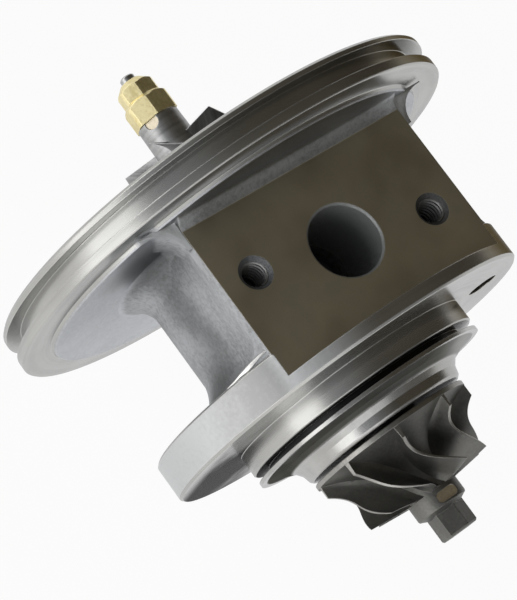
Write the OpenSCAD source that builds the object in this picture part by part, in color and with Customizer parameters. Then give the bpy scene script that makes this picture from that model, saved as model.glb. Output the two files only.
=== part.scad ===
// Turbo cartridge: the shaft lies along X, compressor at -X, turbine at +X.
// The origin is on the shaft axis in the turbine-side face of the flange, and +Z is the drain pad's normal.

/* [Compressor disc] */
// Radius of the disc that the compressor cover seats on
disc_r = 50; // [47:0.5:53]
// Thickness of the disc
disc_thick = 7.4; // [7:0.1:8.4]
// Width of the rim lip on the compressor side
lip_w = 1.5; // [1.2:0.1:1.9]
// Width of the seal groove in the rim
groove_w = 3.8; // [3.2:0.1:4.2]
// Depth of the seal groove
groove_d = 3.4; // [2:0.1:4.4]
// Radius of the raised cast face beside the turned ring
cast_face_r = 43; // [40:0.5:44.5]
// Height of the raised cast face
cast_face_h = 0.9; // [0.6:0.1:1.3]

/* [Neck and drain block] */
// Gap between the disc and the turbine flange
spool_gap = 30.2; // [29:0.2:34]
// Radius of the cast neck
neck_r = 23.4; // [22.4:0.1:24]
// Radius of the fillet from the neck to the disc
disc_fillet = 7; // [5.5:0.5:8.5]
// Radius of the fillet from the neck to the flange
flange_fillet = 9.5; // [7:0.5:10.5]
// Height of the drain pad above the shaft axis
pad_h = 30.2; // [28.5:0.1:31.5]
// Half width of the drain block
pad_half_w = 26.6; // [25.5:0.1:27.5]
// Radius of the hollow flanks of the drain block
flank_r = 40; // [36:0.5:44]
// Distance from the disc to the milled edge of the pad
pad_edge = 4; // [3:0.1:5]
// Radius of the fillets from the flanks to the disc and to the flange
flank_fillet = 3.2; // [2.4:0.1:4]
// Radius of the wider webs beside the pad, from the flanks to the disc and to the flange
web_r = 6; // [5:0.25:6.5]
// Depth of the webs below the pad's face
web_d = 12; // [9:0.5:13]

/* [Drain and oil feed] */
// Radius of the drain hole
drain_r = 7.25; // [6.5:0.05:7.8]
// Distance of the drain hole from the flange's turbine face
drain_x = 18.4; // [17.4:0.1:19.4]
// Spacing of the two tapped holes beside the drain
drain_bolt_span = 39.1; // [37.5:0.1:40.5]
// Turn of the tapped holes' line away from square to the shaft
drain_bolt_turn = 10.1; // [6:0.1:14]
// Tapping radius of the drain bolts
drain_bolt_r = 2.5; // [2.1:0.05:2.6]
// Depth of the tapped holes
drain_bolt_depth = 8.5; // [7:0.5:9]
// Radius of the tapped oil inlet
inlet_r = 4.5; // [3.5:0.1:5]
// Radius of the oil inlet boss
inlet_boss_r = 8; // [7:0.25:9]
// Distance of the oil inlet face from the shaft axis
inlet_h = 25; // [24.75:0.25:28]

/* [Turbine flange] */
// Radius of the turbine flange
flange_r = 40; // [38.5:0.25:42]
// Thickness of the turbine flange
flange_thick = 8; // [7.4:0.1:9]
// Thickness of the rim that stands proud of the drain pad
rim_t = 2.85; // [2.2:0.05:3.6]
// Radius of the locating hole in the flange
dowel_r = 3.2; // [2.5:0.05:3.5]
// Distance of the locating hole from the shaft axis
dowel_pitch_r = 32; // [31:0.1:33.5]
// Direction of the locating hole above the Y axis
dowel_turn = 24.5; // [15:0.5:35]
// Radius of the pilot land
pilot_r = 25.8; // [25:0.1:27]
// Length of the pilot land
pilot_len = 4.5; // [4:0.1:5]
// Gap between the pilot land and the heat shield's rim
shield_gap = 1.5; // [1.2:0.1:2]

/* [Rotor] */
// Radius of the shaft's journals
journal_r = 3.5; // [3.2:0.05:3.7]
// Radius of the stub that carries the compressor wheel
stub_r = 2.5; // [2.2:0.05:2.7]
// Radius of the seal boss beside the turbine wheel
seal_boss_r = 7.5; // [7:0.1:7.8]
// Radius of the turbine wheel
turbine_r = 17.4; // [16.5:0.1:18]
// Radius of the turbine wheel at its outlet
turbine_out_r = 13.9; // [13.2:0.1:14.5]
// Number of turbine blades
turbine_blades = 9; // [8:1:11]
// Radius of the compressor wheel at its outlet
compressor_r = 18; // [17:0.25:20]
// Radius of the compressor wheel at its inlet
compressor_in_r = 12; // [11:0.25:13]
// Number of long compressor blades
compressor_blades = 5; // [4:1:6]
// Radius of the compressor wheel's nose
nose_r = 4.7; // [4.4:0.1:5.2]

/* [Bearings and seals] */
// Length of each floating bush
bush_len = 7; // [6:0.1:7.4]
// Wall of each floating bush
bush_wall = 2.25; // [2:0.05:2.4]
// Radial clearance of the bushes, on the shaft and in the housing
bush_gap = 0.03; // [0.02:0.005:0.05]
// Thickness of the thrust bearing
thrust_t = 2.2; // [2:0.1:2.6]
// Thickness of the oil baffle
baffle_t = 0.8; // [0.6:0.1:1]
// Thickness of the seal plate
seal_plate_t = 5.6; // [5.4:0.1:6]
// Radius of the seal plate
seal_plate_r = 18; // [17.5:0.1:18.2]
// Radius of the flinger's sleeve
sleeve_r = 6; // [5.6:0.1:6.4]
// Width of the piston rings
ring_w = 1.2; // [1:0.05:1.3]
// Radial clearance between the rotor and its seal bores
seal_gap = 0.08; // [0.06:0.01:0.1]

/* [Hidden] */
$fn = 96;
cut = 0.5;
slip = 0.02;
circlip_t = 0.8;
circlip_lip = 0.9;
circlip_side = 0.3;
axial_play = 0.15;
washer_t = 1.5;
washer_r = journal_r + 4;
collar_r = 5;
flinger_t = 1.2;
flinger_r = 8;
pin_r = 1;
pin_deep = 4;
pin_in = seal_plate_r - 4.5;
inlet_depth = 9;
feed_r = 1.2;
edge = 0.4;
x_flange = -flange_thick;
x_disc = x_flange - spool_gap;
x_face = x_disc - disc_thick;
x_cast = x_disc + cast_face_h;
x_pad = x_disc + pad_edge - 0.8;
// The thrust parts stack up from the recess floor towards the compressor
x_plate_out = x_face + circlip_lip + 1;
x_plate_in = x_plate_out + seal_plate_t;
x_thrust_out = x_plate_in + baffle_t;
x_floor = x_thrust_out + thrust_t;
recess_r = seal_plate_r + 0.04;
x_washer = x_floor + axial_play;
x_shoulder = x_washer + washer_t;
x_collar = x_thrust_out - axial_play;
x_flinger = x_collar - flinger_t;
x_wheel = x_face - 1.4;
// The flanks' curve meets the neck a little above the shaft axis
flank_turn = 9;
flank_y = (neck_r + flank_r) * cos(flank_turn) - 0.2;
flank_z = (neck_r + flank_r) * sin(flank_turn);
z_block = neck_r * sin(flank_turn) + 0.3;
// The bushes sit in the main bore, each between two circlips
bore_r = journal_r + bush_gap + bush_wall + bush_gap;
x_bush_t = -7;
x_bush_c = x_floor + 5;
circlip_in_r = bore_r - 0.95;
circlip_out_r = bore_r + 0.55;
cavity_r = bore_r + 3.7;
x_cavity_a = x_bush_c + bush_len + 2.15;
x_cavity_b = x_bush_t - 2.2;
// Turbine end of the rotor and housing
seal_bore_r = seal_boss_r + seal_gap;
x_seal = 1.7;
x_boss = 2.1;
x_nose_end = 8.6;
nose_boss_r = 11.5;
seal_grooves = [3.4, 6.2];
x_weld = 10.3;
x_shield = pilot_len + shield_gap;
register_r = pilot_r - 3.3;
shield_t = 0.75;
shield_cup_r = turbine_r + 0.2;
shield_hole_r = seal_boss_r + 1.3;
x_cup = 11.95;
x_back = 12.7;
x_rim = 13.7;
x_tip = 16.25;
x_out = 25.8;
x_hub_end = 27;
turbine_hub_r = 5.5;
x_hub_ring = 30.3;
x_nose_a = 31.3;
x_nose_b = 35.9;
// Compressor wheel and nut
x_inlet = x_wheel - 11.8;
x_comp_nose = x_wheel - 17.5;
x_nut_step = x_comp_nose - 5.2;
x_nut_end = x_nut_step - 4.4;
x_shaft_end = x_nut_end - 1.4;
tip_r = 1.6;
nose_hex_r = 4.05;
nose_turn = 58;
nut_hex_r = 5.2;
nut_tip_hex_r = 4.3;
nut_turn = 12;
balance_r = 1.5;
balance_len = 3;
balance_d = 0.55;
ring_play = 0.1;

// A ring about the shaft between two stations
module ring(x0, x1, r_in, r_out) {
  translate([x0, 0, 0]) rotate([0, 90, 0]) difference() {
    cylinder(h = x1 - x0, r = r_out);
    if (r_in > 0) translate([0, 0, -cut]) cylinder(h = x1 - x0 + 2 * cut, r = r_in);
  }
}

// A solid bar about the shaft between two stations
module bar(x0, x1, r) {
  translate([x0, 0, 0]) rotate([0, 90, 0]) cylinder(h = x1 - x0, r = r);
}

// A turned shape about the shaft from points given as [station, radius]
module turned(points) {
  rotate([0, 90, 0]) rotate_extrude() polygon([for (p = points) [p[1], p[0]]]);
}

// A split ring: the gap points along the angle given from Z towards Y
module split_ring(x0, x1, r_in, r_out, gap, turn) {
  difference() {
    ring(x0, x1, r_in, r_out);
    rotate([-turn, 0, 0]) translate([x0 - cut, -gap / 2, 0])
      cube([x1 - x0 + 2 * cut, gap, r_out + cut]);
  }
}

// Disc, neck, flange and pilot as turned shapes, each fillet crossing its neighbours
module housing_round() {
  turned([[x_face, 0], [x_face, disc_r - 0.6], [x_face + 0.6, disc_r], [x_face + lip_w, disc_r],
    [x_face + lip_w, disc_r - groove_d], [x_face + lip_w + groove_w, disc_r - groove_d],
    [x_face + lip_w + groove_w, disc_r], [x_disc - 0.3, disc_r], [x_disc, disc_r - 0.3], [x_disc, 0]]);
  turned([[x_disc - 1, 0], [x_disc - 1, cast_face_r + 0.6], [x_disc, cast_face_r + 0.6],
    [x_cast, cast_face_r], [x_cast, 0]]);
  bar(x_disc - 1, x_flange + 1, neck_r);
  neck_fillet(x_cast, disc_fillet, 1);
  neck_fillet(x_flange, flange_fillet, -1);
  turned([[x_flange, 0], [x_flange, flange_r - edge], [x_flange + edge, flange_r], [-0.5, flange_r],
    [0, flange_r - 0.5], [0, 0]]);
  turned([[-1, 0], [-1, pilot_r], [pilot_len - 0.3, pilot_r], [pilot_len, pilot_r - 0.3],
    [pilot_len, register_r], [x_shield, register_r], [x_shield, 0]]);
  bar(x_shield - 1, x_nose_end, nose_boss_r);
}

// A hollow ring-shaped fillet that runs from the neck out to a face
module neck_fillet(x, r, way) {
  rotate([0, 90, 0]) rotate_extrude() difference() {
    translate([neck_r - 3, way > 0 ? x - 0.4 : x - r + 0.2]) square([r + 2.8, r + 0.2]);
    translate([neck_r + r - 0.2, x + way * (r - 0.2)]) circle(r = r);
  }
}

// Drain block: flat pad, hollow flanks with filleted ends, and a straight fillet up to the disc
module drain_block() {
  difference() {
    union() {
      translate([x_disc - 1, -pad_half_w, z_block])
        cube([x_flange + 0.5 - x_disc + 1, 2 * pad_half_w, pad_h + 0.5 - z_block]);
      translate([x_disc - 1, -pad_half_w, pad_h - 1]) cube([pad_edge + 1, 2 * pad_half_w, pad_edge]);
    }
    for (side = [-1, 1]) translate([x_disc - 2, side * flank_y, flank_z]) rotate([0, 90, 0])
      cylinder(h = spool_gap + 4, r = flank_r);
    translate([x_disc + pad_edge, -pad_half_w - cut, pad_h + pad_edge - 0.9]) rotate([-90, 0, 0])
      cylinder(h = 2 * pad_half_w + 2 * cut, r = pad_edge - 0.9);
  }
  for (side = [-1, 1]) {
    flank_end(side, x_cast, 1, flank_fillet, z_block);
    flank_end(side, x_cast, 1, web_r, pad_h - web_d);
    intersection() {
      union() {
        flank_end(side, x_flange, -1, flank_fillet, z_block);
        flank_end(side, x_flange, -1, web_r, pad_h - web_d);
      }
      bar(x_flange - web_r - 1, x_flange + 1, flange_r - edge - 0.1);
    }
  }
}

// Fillet along a flank's curve from a height up, where the block runs into the disc or the flange
module flank_end(side, x, way, r, from) {
  intersection() {
    translate([x_disc - 1, side * flange_r / 2 - flange_r / 2, from])
      cube([x_flange - x_disc + 1.5, flange_r, pad_h - from - 0.2]);
    translate([0, side * flank_y, flank_z]) rotate([0, 90, 0]) rotate_extrude() difference() {
      translate([flank_r - r + 0.2, way > 0 ? x - 0.4 : x - r + 0.2]) square([r + 1, r + 0.2]);
      translate([flank_r - r + 0.2, x + way * (r - 0.2)]) circle(r = r);
    }
  }
}

// Bores turned from both ends: thrust recess, main bore with circlip grooves, cavity and seal bore
module housing_bores() {
  bar(x_face - cut, x_floor, recess_r);
  bar(x_plate_out - 1, x_plate_out, seal_plate_r + 0.75);
  bar(x_floor - cut, x_floor + washer_t + 0.7, washer_r + 0.8);
  bar(x_floor, x_seal + cut, bore_r);
  for (x = [x_bush_c, x_bush_t]) {
    bar(x - circlip_side - circlip_t - slip, x - circlip_side + slip, circlip_out_r + slip);
    bar(x + bush_len + circlip_side - slip, x + bush_len + circlip_side + circlip_t + slip, circlip_out_r + slip);
  }
  bar(x_cavity_a, x_cavity_b, cavity_r);
  bar(x_seal, x_nose_end + cut, seal_bore_r);
  ring(1.5, x_shield + cut, nose_boss_r, register_r - 3.5);
}

// Drain, tapped holes, oil inlet and its two feed drillings
module housing_drillings() {
  translate([-drain_x, 0, bore_r + 1.8]) cylinder(h = 40, r = drain_r);
  translate([-drain_x, 0, pad_h - 0.4]) cylinder(h = 0.4 + slip, r1 = drain_r, r2 = drain_r + 0.4);
  for (side = [-1, 1]) translate([-drain_x, 0, pad_h]) rotate([0, 0, -drain_bolt_turn])
    translate([0, side * drain_bolt_span / 2, 0]) {
      translate([0, 0, -drain_bolt_depth]) cylinder(h = drain_bolt_depth + cut, r = drain_bolt_r);
      translate([0, 0, -0.8]) cylinder(h = 0.8 + slip, r1 = drain_bolt_r, r2 = drain_bolt_r + 0.9);
    }
  translate([-drain_x, 0, -inlet_h - cut]) cylinder(h = inlet_depth + cut, r = inlet_r);
  for (x = [x_bush_c + bush_len / 2, x_bush_t + bush_len / 2]) feed_drilling(x);
  rotate([dowel_turn, 0, 0]) translate([-flange_thick - cut, dowel_pitch_r, 0]) rotate([0, 90, 0])
    cylinder(h = flange_thick + 2 * cut, r = dowel_r);
}

// A slanted drilling from the oil inlet's floor to a bush
module feed_drilling(x) {
  rise = inlet_h - inlet_depth - bore_r + 0.4;
  run = x + drain_x;
  translate([-drain_x, 0, -inlet_h + inlet_depth - edge]) rotate([0, atan2(run, rise), 0])
    cylinder(h = sqrt(run * run + rise * rise), r = feed_r, $fn = 48);
}

module bearing_housing() {
  color([0.62, 0.62, 0.6]) difference() {
    union() {
      housing_round();
      drain_block();
      translate([-drain_x, 0, -inlet_h]) cylinder(h = inlet_h - 8, r = inlet_boss_r);
    }
    translate([x_pad, -flange_r - 1, pad_h]) cube([-rim_t - x_pad, 2 * flange_r + 2, flange_r]);
    housing_bores();
    housing_drillings();
    for (side = [-1, 1]) pin_place(side) cylinder(h = pin_deep, r = pin_r);
  }
}

// Places of the two locating pins of the thrust bearing
module pin_place(side) {
  rotate([35, 0, 0]) translate([x_floor - slip, side * pin_in, 0]) rotate([0, 90, 0]) children();
}

module rotor_shaft() {
  color([0.6, 0.6, 0.62]) difference() {
    turned([[x_shaft_end, 0], [x_shaft_end, tip_r - 0.3], [x_shaft_end + 0.3, tip_r], [x_nut_end + 0.3, tip_r],
      [x_nut_end + 0.3, stub_r], [x_shoulder, stub_r], [x_shoulder, journal_r], [x_boss, journal_r],
      [x_boss, seal_boss_r], [x_weld, seal_boss_r], [x_weld, 0]]);
    for (x = seal_grooves) ring(x, x + ring_w + 2 * ring_play, seal_boss_r - 1.3, seal_boss_r + 1);
  }
}

// Radius of the turbine hub at a station
function turbine_hub(x) = turbine_hub_r
  + (turbine_r - turbine_hub_r) * pow(max(0, 1 - (x - x_rim) / (x_hub_end - x_rim)), 3.2);

// Radius of the turbine blade tips at a station
function turbine_tip(x) = turbine_out_r - 0.1
  + (turbine_r - turbine_out_r) * pow(max(0, 1 - (x - x_tip) / 5.2), 2.5);

// Sweep of a turbine blade at a station, from Z towards Y
function turbine_sweep(x) = x < 17 ? 0 : 36 * pow((x - 17) / 8.8, 2);

// Camber point [station, radius, angle] of a turbine blade, t along the flow and u from root to tip
function turbine_camber(t, u) = let(
    xr = x_rim - 0.1 + (x_hub_end - x_rim) * t,
    xt = x_tip + (x_out - x_tip) * t,
    rr = min(turbine_hub(xr), turbine_r - 0.1) - 1.1 * min(1, 5 * t),
    x = (xr - 0.6 * (1 - t)) * (1 - u) + xt * u,
    r = rr * (1 - u) + min(turbine_tip(xt), turbine_r - 0.1) * u)
  [x, r, turbine_sweep(x)];

// Radius and station of the compressor hub along the flow
function comp_hub(t) = [x_inlet + 10.2 * sin(90 * t), nose_r + (compressor_r - nose_r) * (1 - cos(90 * t))];

// Station and radius of the compressor blade tips along the flow
function comp_tip(t) = [x_inlet - 0.1 + 7.9 * sin(90 * t),
  compressor_in_r + (compressor_r - compressor_in_r) * (1 - cos(90 * t))];

// Camber point [station, radius, angle] of a compressor blade
function comp_camber(t, u) = let(
    h = comp_hub(t),
    root = [h[0] + 1.1 * sin(90 * t), h[1] - 1.1 * cos(90 * t)],
    p = root * (1 - u) + comp_tip(t) * u)
  [p[0], p[1], 36 * (1 - pow(1 - t, 2)) + 24 * t * t];

// A blade as a closed skin: camber points moved round the shaft by half the thickness each way
module blade(points, rows, cols) {
  n = (rows + 1) * (cols + 1);
  skin = [for (way = [-1, 1]) for (p = points)
    let(a = p[2] + way * asin(p[3] / p[1])) [p[0], p[1] * sin(a), p[1] * cos(a)]];
  function at(i, j, s) = s * n + i * (cols + 1) + j;
  sides = [for (i = [0:rows - 1]) for (j = [0:cols - 1]) each [
    [at(i, j, 0), at(i + 1, j, 0), at(i + 1, j + 1, 0)], [at(i, j, 0), at(i + 1, j + 1, 0), at(i, j + 1, 0)],
    [at(i, j, 1), at(i + 1, j + 1, 1), at(i + 1, j, 1)], [at(i, j, 1), at(i, j + 1, 1), at(i + 1, j + 1, 1)]]];
  long_edges = [for (i = [0:rows - 1]) each [
    [at(i, 0, 0), at(i, 0, 1), at(i + 1, 0, 1)], [at(i, 0, 0), at(i + 1, 0, 1), at(i + 1, 0, 0)],
    [at(i, cols, 0), at(i + 1, cols, 1), at(i, cols, 1)],
    [at(i, cols, 0), at(i + 1, cols, 0), at(i + 1, cols, 1)]]];
  ends = [for (j = [0:cols - 1]) each [
    [at(0, j, 0), at(0, j + 1, 1), at(0, j, 1)], [at(0, j, 0), at(0, j + 1, 0), at(0, j + 1, 1)],
    [at(rows, j, 0), at(rows, j, 1), at(rows, j + 1, 1)],
    [at(rows, j, 0), at(rows, j + 1, 1), at(rows, j + 1, 0)]]];
  polyhedron(points = skin, faces = [for (f = concat(sides, long_edges, ends)) [f[2], f[1], f[0]]]);
}

module turbine_wheel() {
  rows = 8;
  cols = 2;
  camber = [for (i = [0:rows]) for (j = [0:cols])
    concat(turbine_camber(i / rows, j / cols), [0.55 - 0.28 * j / cols])];
  color([0.16, 0.16, 0.16]) union() {
    turned(concat([[x_weld, 0], [x_weld, seal_boss_r], [x_back, seal_boss_r], [x_back, turbine_r]],
      [for (i = [0:14]) let(x = x_rim + (x_hub_end - x_rim) * i / 14) [x, turbine_hub(x)]],
      [[x_hub_ring - 0.3, turbine_hub_r], [x_hub_ring, turbine_hub_r - 0.3], [x_nose_a, 3], [x_nose_a, 0]]));
    translate([x_hub_ring - 1, 0, 0]) rotate([0, 90, 0]) rotate([0, 0, nose_turn])
      cylinder(h = x_nose_b - x_hub_ring + 1, r = nose_hex_r, $fn = 6);
    for (k = [0:turbine_blades - 1]) rotate([23 - 360 * k / turbine_blades, 0, 0]) blade(camber, rows, cols);
  }
}

module compressor_wheel() {
  rows = 8;
  cols = 2;
  long = [for (i = [0:rows]) for (j = [0:cols])
    concat(comp_camber(i / rows, j / cols), [0.5 - 0.28 * j / cols])];
  short = [for (i = [0:rows]) for (j = [0:cols])
    concat(comp_camber(0.36 + 0.64 * i / rows, j / cols), [0.5 - 0.28 * j / cols])];
  color([0.36, 0.36, 0.37]) difference() {
    union() {
      turned(concat([[x_wheel, 0], [x_wheel, 7], [x_wheel - 0.5, 10], [x_wheel - 1.2, compressor_r]],
        [for (i = [14:-1:0]) comp_hub(i / 14)], [[x_comp_nose, nose_r], [x_comp_nose, 0]]));
      for (k = [0:compressor_blades - 1]) rotate([-24 - 360 * k / compressor_blades, 0, 0]) {
        blade(long, rows, cols);
        rotate([-180 / compressor_blades, 0, 0]) blade(short, rows, cols);
      }
    }
    bar(x_comp_nose - cut, x_wheel + cut, stub_r + slip);
    balance_cut();
  }
}

// Ground mark where the rotor was balanced, across the wheel's nose
module balance_cut() {
  rotate([45, 0, 0]) translate([x_comp_nose + 0.6, 0, nose_r - balance_d])
    cylinder(h = balance_len, r = balance_r);
}

module compressor_nut() {
  color([0.72, 0.58, 0.26]) difference() {
    union() {
      intersection() {
        translate([x_nut_step, 0, 0]) rotate([0, 90, 0]) rotate([0, 0, nut_turn])
          cylinder(h = x_comp_nose - x_nut_step, r = nut_hex_r, $fn = 6);
        turned([[x_nut_step - 1, 0], [x_nut_step - 1, 3], [x_nut_step + 0.9, nut_hex_r - 0.25],
          [x_comp_nose + 1, nut_hex_r - 0.25], [x_comp_nose + 1, 0]]);
      }
      intersection() {
        translate([x_nut_end, 0, 0]) rotate([0, 90, 0]) rotate([0, 0, nut_turn])
          cylinder(h = x_nut_step - x_nut_end + 1, r = nut_tip_hex_r, $fn = 6);
        turned([[x_nut_end - 1, 0], [x_nut_end - 1, 1.2], [x_nut_end + 1.6, nut_tip_hex_r - 0.2],
          [x_nut_step + 2, nut_tip_hex_r - 0.2], [x_nut_step + 2, 0]]);
      }
    }
    bar(x_nut_end - cut, x_nut_end + 0.3, tip_r + slip);
    bar(x_nut_end + 0.3 - slip, x_comp_nose + cut, stub_r + slip);
  }
}

// A floating bush with its ring of cross holes
module bush(x) {
  difference() {
    ring(x, x + bush_len, journal_r + bush_gap, bore_r - bush_gap);
    for (k = [0:5]) rotate([60 * k, 0, 0]) translate([x + bush_len / 2, 0, 0])
      cylinder(h = bore_r + cut, r = 0.8, $fn = 48);
  }
}

module bush_compressor() {
  color([0.75, 0.6, 0.3]) bush(x_bush_c);
}

module bush_turbine() {
  color([0.75, 0.6, 0.3]) bush(x_bush_t);
}

module bush_circlips() {
  color([0.3, 0.3, 0.32]) for (x = [x_bush_c, x_bush_t]) {
    split_ring(x - circlip_side - circlip_t, x - circlip_side, circlip_in_r, circlip_out_r, 3, 180);
    split_ring(x + bush_len + circlip_side, x + bush_len + circlip_side + circlip_t, circlip_in_r, circlip_out_r, 3, 180);
  }
}

module thrust_washer() {
  color([0.55, 0.55, 0.57]) ring(x_washer, x_shoulder, stub_r + slip, washer_r);
}

module thrust_collar() {
  color([0.55, 0.55, 0.57]) ring(x_collar, x_washer, stub_r + slip, collar_r);
}

module thrust_bearing() {
  color([0.72, 0.55, 0.25]) difference() {
    ring(x_thrust_out, x_floor, collar_r + 0.06, seal_plate_r - slip);
    for (side = [-1, 1]) pin_place(side) translate([0, 0, -thrust_t - cut])
      cylinder(h = thrust_t + 2 * cut, r = pin_r);
    translate([x_thrust_out - cut, -7, -seal_plate_r]) cube([thrust_t + 2 * cut, 14, 5.5]);
  }
}

module thrust_pins() {
  color([0.5, 0.5, 0.52]) for (side = [-1, 1]) pin_place(side) translate([0, 0, -thrust_t + 0.1])
    cylinder(h = thrust_t + pin_deep - edge, r = pin_r - slip);
}

module oil_flinger() {
  x_groove = x_plate_out + 0.8;
  color([0.55, 0.55, 0.57]) difference() {
    union() {
      bar(x_wheel, x_flinger + 0.2, sleeve_r);
      bar(x_flinger, x_collar, flinger_r);
    }
    bar(x_wheel - cut, x_collar + cut, stub_r + slip);
    ring(x_groove, x_groove + ring_w + 2 * ring_play, sleeve_r - 1.1, sleeve_r + 1);
  }
}

module oil_baffle() {
  color([0.6, 0.6, 0.6]) difference() {
    ring(x_plate_in, x_thrust_out, flinger_r + 1, seal_plate_r - slip);
    translate([x_plate_in - cut, -6, -seal_plate_r]) cube([baffle_t + 2 * cut, 12, 7]);
  }
}

module seal_plate() {
  color([0.58, 0.58, 0.6]) difference() {
    ring(x_plate_out, x_plate_in, sleeve_r + seal_gap, seal_plate_r);
    ring(x_plate_out + 3, x_plate_in + cut, sleeve_r - 1, flinger_r + 1);
    ring(x_plate_out + 2, x_plate_out + 4, seal_plate_r - 1.4, seal_plate_r + 1);
  }
}

module seal_plate_oring() {
  color([0.08, 0.08, 0.08]) translate([x_plate_out + 3, 0, 0]) rotate([0, 90, 0]) rotate_extrude()
    translate([seal_plate_r - 0.7, 0]) circle(r = 0.7);
}

module seal_plate_circlip() {
  color([0.3, 0.3, 0.32]) split_ring(x_plate_out - 1 + slip, x_plate_out - slip, seal_plate_r - 1.6,
    seal_plate_r + 0.7, 9, 0);
}

module compressor_piston_ring() {
  x = x_plate_out + 0.8 + ring_play;
  color([0.35, 0.35, 0.37]) split_ring(x, x + ring_w, sleeve_r - 0.95, sleeve_r + seal_gap, 0.4, 60);
}

module turbine_piston_rings() {
  color([0.35, 0.35, 0.37]) for (x = seal_grooves)
    split_ring(x + ring_play, x + ring_play + ring_w, seal_boss_r - 1.15, seal_bore_r, 0.4, 20 * x);
}

module heat_shield() {
  x_rim_face = x_shield + shield_t;
  color([0.66, 0.66, 0.64]) turned([[x_shield, register_r - 2.5], [x_shield, pilot_r], [x_rim_face, pilot_r],
    [x_rim_face, pilot_r - 1.6], [x_rim_face + 0.7, shield_cup_r + 3.8], [x_rim_face + 1.7, shield_cup_r + 1.6],
    [x_rim_face + 3, shield_cup_r + 0.6], [x_rim_face + 4.6, shield_cup_r + 0.2], [x_cup - 0.35, shield_cup_r],
    [x_cup, shield_cup_r - 0.4], [x_cup, shield_hole_r], [x_cup - shield_t, shield_hole_r],
    [x_cup - shield_t, shield_cup_r - 0.8], [x_rim_face + 3, shield_cup_r - 0.2],
    [x_rim_face + 1.3, shield_cup_r + 0.9], [x_rim_face, shield_cup_r + 2.4]]);
}

bearing_housing();
rotor_shaft();
turbine_wheel();
compressor_wheel();
compressor_nut();
bush_compressor();
bush_turbine();
bush_circlips();
thrust_washer();
thrust_collar();
thrust_bearing();
thrust_pins();
oil_flinger();
oil_baffle();
seal_plate();
seal_plate_oring();
seal_plate_circlip();
compressor_piston_ring();
turbine_piston_rings();
heat_shield();
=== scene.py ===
import math

import bmesh
import bpy
from mathutils import Matrix, Vector


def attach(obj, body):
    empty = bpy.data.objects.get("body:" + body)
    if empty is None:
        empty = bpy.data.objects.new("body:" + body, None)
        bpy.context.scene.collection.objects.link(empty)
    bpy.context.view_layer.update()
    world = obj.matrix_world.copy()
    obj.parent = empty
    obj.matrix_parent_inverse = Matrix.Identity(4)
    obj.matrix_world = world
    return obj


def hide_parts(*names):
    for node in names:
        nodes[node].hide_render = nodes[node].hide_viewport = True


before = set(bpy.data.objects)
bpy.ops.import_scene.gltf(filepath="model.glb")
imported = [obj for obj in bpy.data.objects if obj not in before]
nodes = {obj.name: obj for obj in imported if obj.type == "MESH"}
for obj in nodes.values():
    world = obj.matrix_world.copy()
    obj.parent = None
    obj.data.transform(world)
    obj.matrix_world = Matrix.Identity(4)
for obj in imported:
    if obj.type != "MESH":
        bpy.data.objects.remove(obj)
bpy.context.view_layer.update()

mm = 0.001
scene = bpy.context.scene
scene.view_settings.view_transform = "Standard"

# camera at the photograph's place: three axes and a point, in the part's own frame
camera = {
    "place": (46.511, -207.081, 368.259),  # mm
    "right": (0.58391, 0.75353, 0.30207),
    "down": (0.79523, -0.45607, -0.39952),
    "forward": (-0.16329, 0.47350, -0.86553),
    "lens": 131.42,
    "sensor": 36,  # mm on the long side
    "clip": (0.01, 50),  # m
}


def setCamera(look):
    lensData = bpy.data.cameras.new("photoCamera")
    lensData.sensor_width = look["sensor"]
    lensData.lens = look["lens"]
    lensData.clip_start, lensData.clip_end = look["clip"]
    eye = bpy.data.objects.new("photoCamera", lensData)
    scene.collection.objects.link(eye)
    right, down, forward = (Vector(look[way]).normalized() for way in ("right", "down", "forward"))
    turn = Matrix((right, -down, -forward)).transposed().to_4x4()
    eye.matrix_world = Matrix.Translation(Vector(look["place"]) * mm) @ turn
    scene.camera = eye


setCamera(camera)
print("camera set")


# node helpers
def put(tree, kind, inputs=None, **settings):
    node = tree.nodes.new("ShaderNode" + kind)
    for name, value in settings.items():
        setattr(node, name, value)
    for name, value in (inputs or {}).items():
        if isinstance(value, bpy.types.NodeSocket):
            tree.links.new(value, node.inputs[name])
        else:
            node.inputs[name].default_value = value
    return node


def calc(tree, operation, first, second=0.0, clamp=False):
    return put(tree, "Math", {0: first, 1: second}, operation=operation, use_clamp=clamp).outputs[0]


def above(tree, value, limit):
    return calc(tree, "GREATER_THAN", value, limit)


def below(tree, value, limit):
    return calc(tree, "LESS_THAN", value, limit)


def absolute(tree, value):
    return calc(tree, "ABSOLUTE", value)


def invert(tree, value):
    return calc(tree, "SUBTRACT", 1.0, value)


def rise(tree, value, low, high):
    return put(
        tree,
        "MapRange",
        {"Value": value, "From Min": low, "From Max": high},
        interpolation_type="SMOOTHSTEP",
    ).outputs[0]


def fall(tree, value, low, high):
    return invert(tree, rise(tree, value, low, high))


def allOf(tree, first, *others):  # where every mask holds
    for other in others:
        first = calc(tree, "MULTIPLY", first, other)
    return first


def anyOf(tree, first, *others):  # where one mask holds
    for other in others:
        first = calc(tree, "MAXIMUM", first, other)
    return first


def vary(tree, base, noise, amount):
    return calc(tree, "ADD", base, calc(tree, "MULTIPLY", noise, amount))


def blend(tree, first, second, shares):
    return vary(tree, calc(tree, "MULTIPLY", first, shares[0]), second, shares[1])


def stray(tree, noise, amount):  # to either side of nothing
    return calc(tree, "MULTIPLY", calc(tree, "SUBTRACT", noise, 0.5), amount)


def point(tree, x, y, z=0.0):
    return put(tree, "CombineXYZ", {0: x, 1: y, 2: z}).outputs[0]


def distance(tree, first, second):
    return put(tree, "VectorMath", {0: first, 1: second}, operation="DISTANCE").outputs["Value"]


def dot(tree, first, second):
    return put(tree, "VectorMath", {0: first, 1: second}, operation="DOT_PRODUCT").outputs["Value"]


def mixValue(tree, factor, first, second):
    return put(tree, "Mix", {0: factor, 2: first, 3: second}, data_type="FLOAT").outputs[0]


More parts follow.
